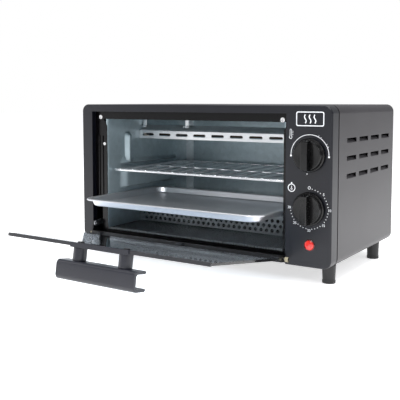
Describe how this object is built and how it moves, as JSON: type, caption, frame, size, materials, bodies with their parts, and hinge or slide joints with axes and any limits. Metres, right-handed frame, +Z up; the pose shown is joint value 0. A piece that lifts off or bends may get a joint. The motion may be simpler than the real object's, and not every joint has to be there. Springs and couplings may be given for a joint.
{
  "type": "toaster oven",
  "caption": "Compact toaster oven with a drop-down glass door, wire rack, pressed tray, two rotary controls and a pilot lamp.",
  "frame": {"origin": "centre of the base plate's underside, one foot height above the worktop", "axes": "+X to the right seen from the front, +Y from the door to the back, +Z up"},
  "size_m": [0.38, 0.3978, 0.212],
  "materials": {
    "wrapper_paint": "satin grey paint with a fine orange-peel texture",
    "surround_paint": "satin blue-black paint",
    "badge_plate": "satin outline on a dark ground",
    "frame_black": "gloss black",
    "galvanised": "galvanised sheet, cool grey",
    "bright_sheet": "bright sheet, satin",
    "floor_sheet": "dull grey sheet",
    "heater_sheath": "heat-tinted steel",
    "ceramic": "glazed off-white",
    "rack_chrome": "bright plated wire",
    "tray_aluminium": "satin pressed sheet",
    "door_pane": "clear tempered glass with a cool tint",
    "black_paint": "satin black",
    "screw_steel": "plated",
    "bush_nylon": "natural nylon",
    "handle_plastic": "satin dark grey moulding",
    "stay_steel": "plated spring steel",
    "knob_plastic": "gloss black",
    "shaft_brass": "turned",
    "timer_zinc": "yellow zinc plate",
    "lamp_red": "clear red, lit from behind",
    "black_plastic": "matt black"
  },
  "bodies": {
    "cabinet": {"outer_wrapper": "wrapper_paint", "rear_panel": "wrapper_paint", "base_plate": "wrapper_paint", "front_fascia": "surround_paint", "panel_badge": "badge_plate", "front_frame": "frame_black", "liner_left": "galvanised", "liner_right": "galvanised", "liner_back": "galvanised", "liner_roof": "galvanised", "liner_floor": "floor_sheet", "heat_shield": "bright_sheet", "upper_heater_rod": "heater_sheath", "lower_heater_rod": "heater_sheath", "heater_insulators": "ceramic", "upper_guard": "bright_sheet", "lower_guard": "floor_sheet", "guard_hooks": "bright_sheet", "hinge_bushes": "bush_nylon", "stay_spring": "stay_steel", "stay_anchor": "wrapper_paint", "thermostat_body": "ceramic", "timer_body": "timer_zinc", "timer_bell": "shaft_brass", "lamp_lens": "lamp_red", "lamp_holder": "ceramic", "terminal_block": "ceramic", "cord_gland": "black_plastic", "feet": "black_plastic", "foot_screws": "screw_steel", "frame_screws": "screw_steel", "wrapper_screws": "screw_steel", "control_nuts": "screw_steel"},
    "door": {"door_glass": "door_pane", "door_rail": "black_paint", "hinge_pins": "screw_steel", "rail_clips": "black_paint", "door_edge_trim": "black_paint", "handle_base": "handle_plastic", "handle_posts": "handle_plastic", "handle_grip": "handle_plastic", "handle_screws": "screw_steel"},
    "tray": {"baking_tray": "tray_aluminium"},
    "rack": {"wire_rack": "rack_chrome"},
    "crumb": {"crumb_tray": "floor_sheet"},
    "stay": {"stay_link": "stay_steel"},
    "thermostat_dial": {"thermostat_knob": "knob_plastic", "thermostat_shaft": "shaft_brass"},
    "timer_dial": {"timer_knob": "knob_plastic", "timer_shaft": "shaft_brass"}
  },
  "joints": [
    {"name": "door_hinge", "type": "hinge", "parent": "cabinet", "child": "door", "pos_m": [-0.01975, -0.108, 0.006], "axis": [1, 0, 0], "range_deg": [-81, 0]},
    {"name": "tray_slide", "type": "slide", "parent": "cabinet", "child": "tray", "axis": [0, -1, 0], "range_m": [-0.0611, 0]},
    {"name": "rack_slide", "type": "slide", "parent": "cabinet", "child": "rack", "axis": [0, -1, 0], "range_m": [0, 0.12]},
    {"name": "crumb_slide", "type": "slide", "parent": "cabinet", "child": "crumb", "axis": [0, -1, 0], "range_m": [0, 0.03]},
    {"name": "stay_pivot", "type": "hinge", "parent": "door", "child": "stay", "pos_m": [-0.1658, -0.10998, 0.02099], "axis": [1, 0, 0], "range_deg": [0, 81], "deforming": ["stay_spring"]},
    {"name": "thermostat_turn", "type": "hinge", "parent": "cabinet", "child": "thermostat_dial", "pos_m": [0.1623, -0.11, 0.13205], "axis": [0, 1, 0], "range_deg": [-90, 90]},
    {"name": "timer_turn", "type": "hinge", "parent": "cabinet", "child": "timer_dial", "pos_m": [0.1623, -0.11, 0.06935], "axis": [0, 1, 0], "range_deg": [0, 285]}
  ],
  "couplings": [
    {"joint": "tray_slide", "follows": "door_hinge", "m_per_rad": 0.043149},
    {"joint": "stay_pivot", "follows": "door_hinge", "ratio": -1}
  ]
}
